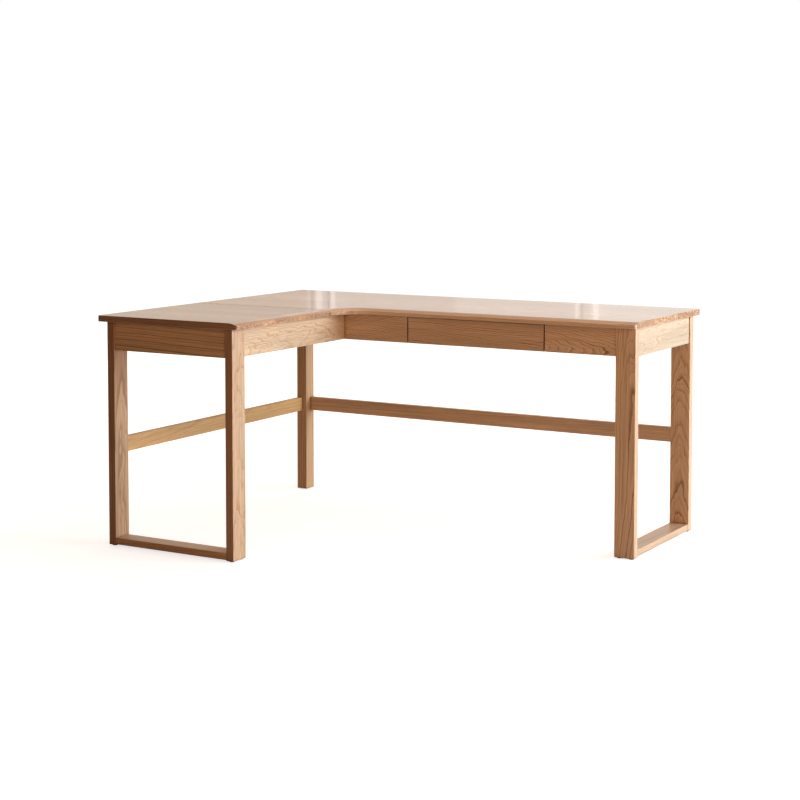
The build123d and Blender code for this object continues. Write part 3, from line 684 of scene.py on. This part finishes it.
# %% Group: plated steel
zinc_dark, zinc_pale = (0.56, 0.58, 0.60, 1), (0.68, 0.67, 0.64, 1)
zinc_rubbed = (0.82, 0.82, 0.81, 1)
plating, given, made = new_group(
    "plated steel",
    {"Vector": ("Vector", None), "Marks": ("Vector", (900, 6, 900)), "Rubbed": ("Float", 0.0)},
    {"Color": "Color", "Roughness": "Float", "Height": "Float"})
bloom = grain_noise(plating, given["Vector"], (120, 120, 120), 3.0)
marks = grain_noise(plating, given["Vector"], given["Marks"], 2.0, 0.5)
zinc = blend(plating, smooth_step(plating, bloom, 0.35, 0.65), zinc_dark, zinc_pale)
zinc = blend(plating, times(plating, given["Rubbed"], 0.6), zinc, zinc_rubbed)
rough = calc(plating, "MULTIPLY_ADD", bloom, 0.2, 0.12)
rough = calc(plating, "MULTIPLY_ADD", marks, 0.22, rough)
put_out(plating, made, {"Color": zinc, "Roughness": rough, "Height": marks})


def zinc_plated(name, marks):
    material, tree, here = new_finish(name)
    rubbed = use(tree, edges, {"Width": 0.0006})["Mask"]
    out = use(tree, plating, {"Vector": here["Object"], "Marks": marks, "Rubbed": rubbed})
    lacquered(material, out["Color"], out["Roughness"], out["Height"], coat=0.0, relief=0.00003)
    tree.nodes["Principled BSDF"].inputs["Metallic"].default_value = 1.0
    return material


fitting_zinc = zinc_plated("zinc plated fittings", (300, 300, 300))
sheet_zinc = zinc_plated("zinc plated slide sheet", (900, 6, 900))

# %% Beech and nylon
beech_dark, beech_pale = (0.62, 0.40, 0.25, 1), (0.76, 0.54, 0.37, 1)
beech_fleck = (0.38, 0.20, 0.11, 1)
beech, tree, here = new_finish("fluted beech")
flecks = smooth_step(tree, grain_noise(tree, here["Object"], (420, 420, 900), 1.0), 0.56, 0.66)
soft = grain_noise(tree, here["Object"], (60, 60, 60), 2.0)
color = blend(tree, soft, beech_dark, beech_pale)
color = blend(tree, times(tree, flecks, 0.5), color, beech_fleck)
rough = calc(tree, "MULTIPLY_ADD", soft, 0.2, 0.5)
lacquered(beech, color, rough, flecks, coat=0.0, relief=0.0001)

nylon_brown, nylon_scuffed = (0.040, 0.030, 0.025, 1), (0.11, 0.095, 0.085, 1)
nylon, tree, here = new_finish("moulded nylon")
pebble = grain_noise(tree, here["Object"], (1400, 1400, 1400), 2.0)
scuffs = smooth_step(tree, grain_noise(tree, here["Object"], (90, 700, 90), 3.0), 0.55, 0.72)
color = blend(tree, scuffs, nylon_brown, nylon_scuffed)
rough = calc(tree, "MULTIPLY_ADD", scuffs, 0.25, 0.42)
lacquered(nylon, color, rough, pebble, coat=0.0, relief=0.0001)

for name in ("angle_brackets", "corner_washer", "corner_nut"):
    dress(name, fitting_zinc)
for side in ("left", "right"):
    for member in ("outer", "middle", "inner"):
        dress("slide_" + member + "_" + side, sheet_zinc)
dress("leg_glides", nylon)

# %% [markdown]
# ## Screws, dowels and balls
#
# What repeats is made once and placed many times with Geometry Nodes. A tree draws one screw from
# its head radius, head height, shank and length, and sets it on points that carry a direction. The
# points are read from the design model: each loose solid of a node gives its long axis, and the
# wider end of a screw is its head. The result is turned into a plain mesh, because placed copies
# don't survive an export.

# %% Where the fittings sit
end_depth = 0.0025  # points this close to an end belong to it
wider_by = 0.0003  # an end this much wider than the other is a head


def loose_solids(name):
    """The points of each loose solid of a node, in the mesh's own order, so that every run agrees."""
    shape = bmesh.new()
    shape.from_mesh(nodes[name].data)
    bmesh.ops.remove_doubles(shape, verts=shape.verts, dist=1e-6)
    shape.verts.index_update()
    done, solids = set(), []
    for first in shape.verts:
        if first.index in done:
            continue
        done.add(first.index)
        solid = [first]
        for vert in solid:  # grows while it is read
            for link in vert.link_edges:
                other = link.other_vert(vert)
                if other.index not in done:
                    done.add(other.index)
                    solid.append(other)
        solid.sort(key=lambda vert: vert.index)
        solids.append([vert.co.copy() for vert in solid])
    shape.free()
    return solids


def nearest_axis(way):
    """The nearest of X, Y, Z and the two level diagonals, whichever way round the line was given."""
    level = math.sqrt(0.5)
    choices = [*ways.values(), Vector((level, level, 0)), Vector((level, -level, 0))]
    return max(choices, key=lambda c: abs(c.dot(way)))


def long_axes(name):
    """For each loose solid of a node: its wide end, the direction away from it, and its length."""
    found = []
    for points in loose_solids(name):
        first = max(points, key=lambda p: (p - points[0]).length)
        second = max(points, key=lambda p: (p - first).length)
        way = nearest_axis(second - first)
        reach = [p.dot(way) for p in points]
        low_end, high_end = min(reach), max(reach)
        middle = sum(points, Vector()) / len(points)

        def spread(level):
            near = [p - middle for p in points if abs(p.dot(way) - level) < end_depth]
            return max((p - way * p.dot(way)).length for p in near)

        if spread(high_end) > spread(low_end) + wider_by:
            way, low_end, high_end = -way, -high_end, -low_end
        sides = [[p[i] for p in points] for i in range(3)]
        box_middle = Vector([(min(side) + max(side)) / 2 for side in sides])
        start = box_middle + way * (low_end - box_middle.dot(way))
        found.append((start, way, high_end - low_end))
    return found


# %% Helpers for Geometry Nodes
def new_tree(name, inputs):
    """A Geometry Nodes tree with named inputs and a material: name -> (kind, default)."""
    return new_group(name, {"Geometry": ("Geometry", None), **inputs, "Material": ("Material", None)},
                     {"Geometry": "Geometry"}, "GeometryNodeTree")


def join(tree, *shapes):
    node = tree.nodes.new("GeometryNodeJoinGeometry")
    for shape in shapes:
        tree.links.new(shape, node.inputs[0])
    return node.outputs[0]


def lift(tree, shape, height):
    """Moves a shape up its own axis."""
    return add(tree, "GeometryNodeTransform",
               {"Geometry": shape, "Translation": combine(tree, z=height)}).outputs[0]


def rod(tree, sides, bottom, top, length):
    """A round rod or cone that stands on the origin."""
    return add(tree, "GeometryNodeMeshCone", {"Vertices": sides, "Radius Bottom": bottom,
                                              "Radius Top": top, "Depth": length}).outputs[0]


def wind(tree, steps, turns, radius, height, ridge):
    """A spiral ridge with a four-sided section, for a thread."""
    path = add(tree, "GeometryNodeCurveSpiral", {
        "Resolution": steps, "Rotations": turns, "Start Radius": radius, "End Radius": radius,
        "Height": height}).outputs[0]
    section = add(tree, "GeometryNodeCurvePrimitiveCircle", {"Resolution": 4, "Radius": ridge})
    return add(tree, "GeometryNodeCurveToMesh", {"Curve": path, "Fill Caps": True,
                                                 "Profile Curve": section.outputs[0]}).outputs[0]


def place_on_points(tree, given, made, shape):
    """Sets the shape on each point, with its axis along the point's direction."""
    way = add(tree, "GeometryNodeInputNamedAttribute", {"Name": "way"}, data_type="FLOAT_VECTOR")
    turn = add(tree, "FunctionNodeAlignRotationToVector", {"Vector": way.outputs[0]}, axis="Z")
    placed = add(tree, "GeometryNodeInstanceOnPoints", {
        "Points": given["Geometry"], "Instance": shape, "Rotation": turn.outputs[0]})
    real = add(tree, "GeometryNodeRealizeInstances", {"Geometry": placed.outputs[0]})
    finished = add(tree, "GeometryNodeSetMaterial", {"Geometry": real.outputs[0],
                                                     "Material": given["Material"]})
    put_out(tree, made, {"Geometry": finished.outputs[0]})


def grow(name, spots, tree, values, body, replaced=None):
    """Runs a tree on points, and keeps the result as one plain mesh that rides on a body."""
    cloud = bpy.data.meshes.new(name + " spots")
    cloud.from_pydata([start for start, way in spots], [], [])
    ways_there = cloud.attributes.new("way", "FLOAT_VECTOR", "POINT")
    for item, (start, way) in zip(ways_there.data, spots):
        item.vector = way
    seedling = bpy.data.objects.new(name + " spots", cloud)
    bpy.context.scene.collection.objects.link(seedling)
    modifier = seedling.modifiers.new("grow", "NODES")
    modifier.node_group = tree
    for item in tree.interface.items_tree:
        if item.name in values:
            modifier[item.identifier] = values[item.name]
    bpy.context.view_layer.update()
    ready = seedling.evaluated_get(bpy.context.evaluated_depsgraph_get())
    mesh = bpy.data.meshes.new_from_object(ready)
    bpy.data.objects.remove(seedling)
    piece = bpy.data.objects.new(name, mesh)
    bpy.context.scene.collection.objects.link(piece)
    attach(piece, body)
    if replaced:
        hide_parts(replaced)
    print(name + ":", len(spots), "placed,", len(mesh.polygons), "faces")


# %% Tree: a cross-recessed wood screw
pitch, ridge = 0.0016, 0.00035
screw, given, made = new_tree("wood screw", {
    "Head Radius": ("Float", 0.0035), "Head Height": ("Float", 0.002),
    "Shank Radius": ("Float", 0.00175), "Length": ("Float", 0.014)})
ball = add(screw, "GeometryNodeMeshUVSphere", {"Segments": 24, "Rings": 12, "Radius": 1.0}).outputs[0]
split = separate(screw, add(screw, "GeometryNodeInputPosition").outputs[0])
flat = combine(screw, split["X"], split["Y"], calc(screw, "MAXIMUM", split["Z"], 0.0))
dome = add(screw, "GeometryNodeSetPosition", {"Geometry": ball, "Position": flat}).outputs[0]
dome = add(screw, "GeometryNodeSetShadeSmooth", {"Geometry": dome}).outputs[0]
head_size = combine(screw, given["Head Radius"], given["Head Radius"], given["Head Height"])
dome = add(screw, "GeometryNodeTransform", {"Geometry": dome, "Scale": head_size,
                                            "Rotation": (math.pi, 0, 0)}).outputs[0]
cut = add(screw, "GeometryNodeMeshBoolean", {0: dome}, operation="DIFFERENCE")
arm_long = times(screw, given["Head Radius"], 1.15)
arm_wide = times(screw, given["Head Radius"], 0.26)
arm_deep = times(screw, given["Head Height"], 1.2)
for sizes in ((arm_long, arm_wide), (arm_wide, arm_long)):
    arm = add(screw, "GeometryNodeMeshCube", {"Size": combine(screw, *sizes, arm_deep)}).outputs[0]
    screw.links.new(lift(screw, arm, times(screw, given["Head Height"], -1.0)), cut.inputs[1])
root = times(screw, given["Shank Radius"], 0.78)
shank = rod(screw, 16, root, root, given["Length"])
tip = rod(screw, 16, root, 0.0001, times(screw, given["Shank Radius"], 2.0))
thread = wind(screw, 12, calc(screw, "DIVIDE", given["Length"], pitch), root, given["Length"], ridge)
place_on_points(screw, given, made,
                join(screw, cut.outputs[0], shank, lift(screw, tip, given["Length"]), thread))

# %% Drive the screws
tip_long = 0.0035
for name, head, body in (("bracket_screws", 0.002, "desk"), ("seam_batten_screws", 0.002, "desk"),
                         ("slide_rail_screws", 0.0012, "desk"),
                         ("slide_drawer_screws", 0.0012, "drawer")):
    found = long_axes(name)
    shank_long = found[0][2] - head - tip_long
    grow(name + "_threaded", [(start + way * head, way) for start, way, long in found], screw,
         {"Head Height": head, "Length": shank_long, "Material": fitting_zinc},
         body, name)

# %% [markdown]
# The dowels are fluted, so that glue can get past them, and their ends are eased. The tree pushes
# the wall of a cylinder in along a number of grooves.

# %% Tree: a fluted dowel
flute_depth, ease_depth, ease_long = 0.07, 0.16, 0.0012
dowel, given, made = new_tree("fluted dowel", {
    "Radius": ("Float", 0.004), "Length": ("Float", 0.036), "Flutes": ("Float", 14.0)})
bar = add(dowel, "GeometryNodeMeshCylinder", {
    "Vertices": 84, "Side Segments": 24, "Radius": given["Radius"], "Depth": given["Length"]},
    fill_type="NGON").outputs[0]
split = separate(dowel, add(dowel, "GeometryNodeInputPosition").outputs[0])
angle = calc(dowel, "ARCTAN2", split["Y"], split["X"])
groove = calc(dowel, "COSINE", times(dowel, angle, given["Flutes"]))
groove = calc(dowel, "MAXIMUM", groove, 0.0)
from_end = minus(dowel, times(dowel, given["Length"], 0.5), calc(dowel, "ABSOLUTE", split["Z"]))
near_end = calc(dowel, "SUBTRACT", 1.0, calc(dowel, "DIVIDE", from_end, ease_long), clamp=True)
keep = minus(dowel, calc(dowel, "MULTIPLY_ADD", groove, -flute_depth, 1.0),
             times(dowel, near_end, ease_depth))
moved = combine(dowel, times(dowel, split["X"], keep), times(dowel, split["Y"], keep), split["Z"])
fluted = add(dowel, "GeometryNodeSetPosition", {"Geometry": bar, "Position": moved}).outputs[0]
place_on_points(dowel, given, made, fluted)

# %% Set the dowels
for name, radius, body in (("apron_dowels", 0.004, "desk"), ("seam_dowels", 0.004, "desk"),
                           ("drawer_dowels", 0.003, "drawer")):
    found = long_axes(name)
    grow(name + "_fluted", [(start + way * long / 2, way) for start, way, long in found], dowel,
         {"Radius": radius, "Length": found[0][2], "Material": beech}, body, name)

# %% [markdown]
# The bolt in the corner leg has a thread along its whole length. It is a rod with a fine spiral
# ridge, made by the same kind of tree.

# %% Tree: a threaded rod
ridge, plain_end = 0.00045, 0.001
bolt, given, made = new_tree("threaded rod", {
    "Radius": ("Float", 0.004), "Length": ("Float", 0.07), "Pitch": ("Float", 0.00125)})
core = minus(bolt, given["Radius"], ridge)
wound = minus(bolt, given["Length"], 2 * plain_end)
thread = wind(bolt, 24, calc(bolt, "DIVIDE", wound, given["Pitch"]), core, wound, ridge)
place_on_points(bolt, given, made, join(bolt, rod(bolt, 32, core, core, given["Length"]),
                                        lift(bolt, thread, plain_end)))
start, way, long = long_axes("corner_bolt")[0]
grow("corner_bolt_threaded", [(start, way)], bolt, {"Length": long, "Material": fitting_zinc},
     "desk", "corner_bolt")

# %% [markdown]
# Each slide runs on rows of steel balls, held at an even distance by a thin cage. The outer rows roll
# between the outer and the middle member, and the inner rows between the middle and the inner one.
# They ride with the middle member: the outer rows sit in its back half and the inner ones in its
# front half, so that they stay inside the channels when the drawer is open.

# %% Tree: a row of balls in its cage
cage_thick = 0.0004
row, given, made = new_tree("ball row", {
    "Balls": ("Int", 22), "Pitch": ("Float", 0.0075), "Ball Radius": ("Float", 0.0011),
    "Cage Width": ("Float", 0.0045)})
line = add(row, "GeometryNodeMeshLine", {"Count": given["Balls"],
                                         "Offset": combine(row, z=given["Pitch"])}).outputs[0]
ball = add(row, "GeometryNodeMeshIcoSphere", {"Radius": given["Ball Radius"], "Subdivisions": 3})
ball = add(row, "GeometryNodeSetShadeSmooth", {"Geometry": ball.outputs[0]}).outputs[0]
balls = add(row, "GeometryNodeInstanceOnPoints", {"Points": line, "Instance": ball}).outputs[0]
long = times(row, given["Pitch"], given["Balls"])
strip = add(row, "GeometryNodeMeshCube", {
    "Size": combine(row, given["Cage Width"], cage_thick, long), "Vertices Z": 2}).outputs[0]
middle_of_row = times(row, minus(row, long, given["Pitch"]), 0.5)
place_on_points(row, given, made, join(row, balls, lift(row, strip, middle_of_row)))

# %% Fill the slides with balls
outer_sheet, middle_sheet, ball_play = 0.0012, 0.001, 0.00005
outer_row_start, inner_row_start = 0.21, 0.02
for side in ("left", "right"):
    low, high = (Vector(corner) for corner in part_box("slide_middle_" + side))
    outer_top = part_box("slide_outer_" + side)[1][2]
    inner_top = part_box("slide_inner_" + side)[1][2]
    middle = (low + high) / 2
    for label, near, far, start_y in (
            ("outer", high.z, outer_top - outer_sheet, low.y + outer_row_start),
            ("inner", inner_top, high.z - middle_sheet, low.y + inner_row_start)):
        rise = (near + far) / 2 - middle.z
        spots = [(Vector((middle.x, start_y, middle.z + way * rise)), ways["Y"]) for way in (1, -1)]
        grow("slide_balls_" + label + "_" + side, spots, row,
             {"Ball Radius": (far - near) / 2 - ball_play, "Material": sheet_zinc},
             "slide_middle")

# %% [markdown]
# ## The size
#
# The box of everything shown is put next to the design's box. The pieces made here have to stay
# inside the design's box.

# %% Gather the sizes
def as_lists(corners):
    return [[float(v) for v in corner] for corner in corners]


sizes = {"cad": as_lists((cad_low, cad_high)), "visual": as_lists(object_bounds())}
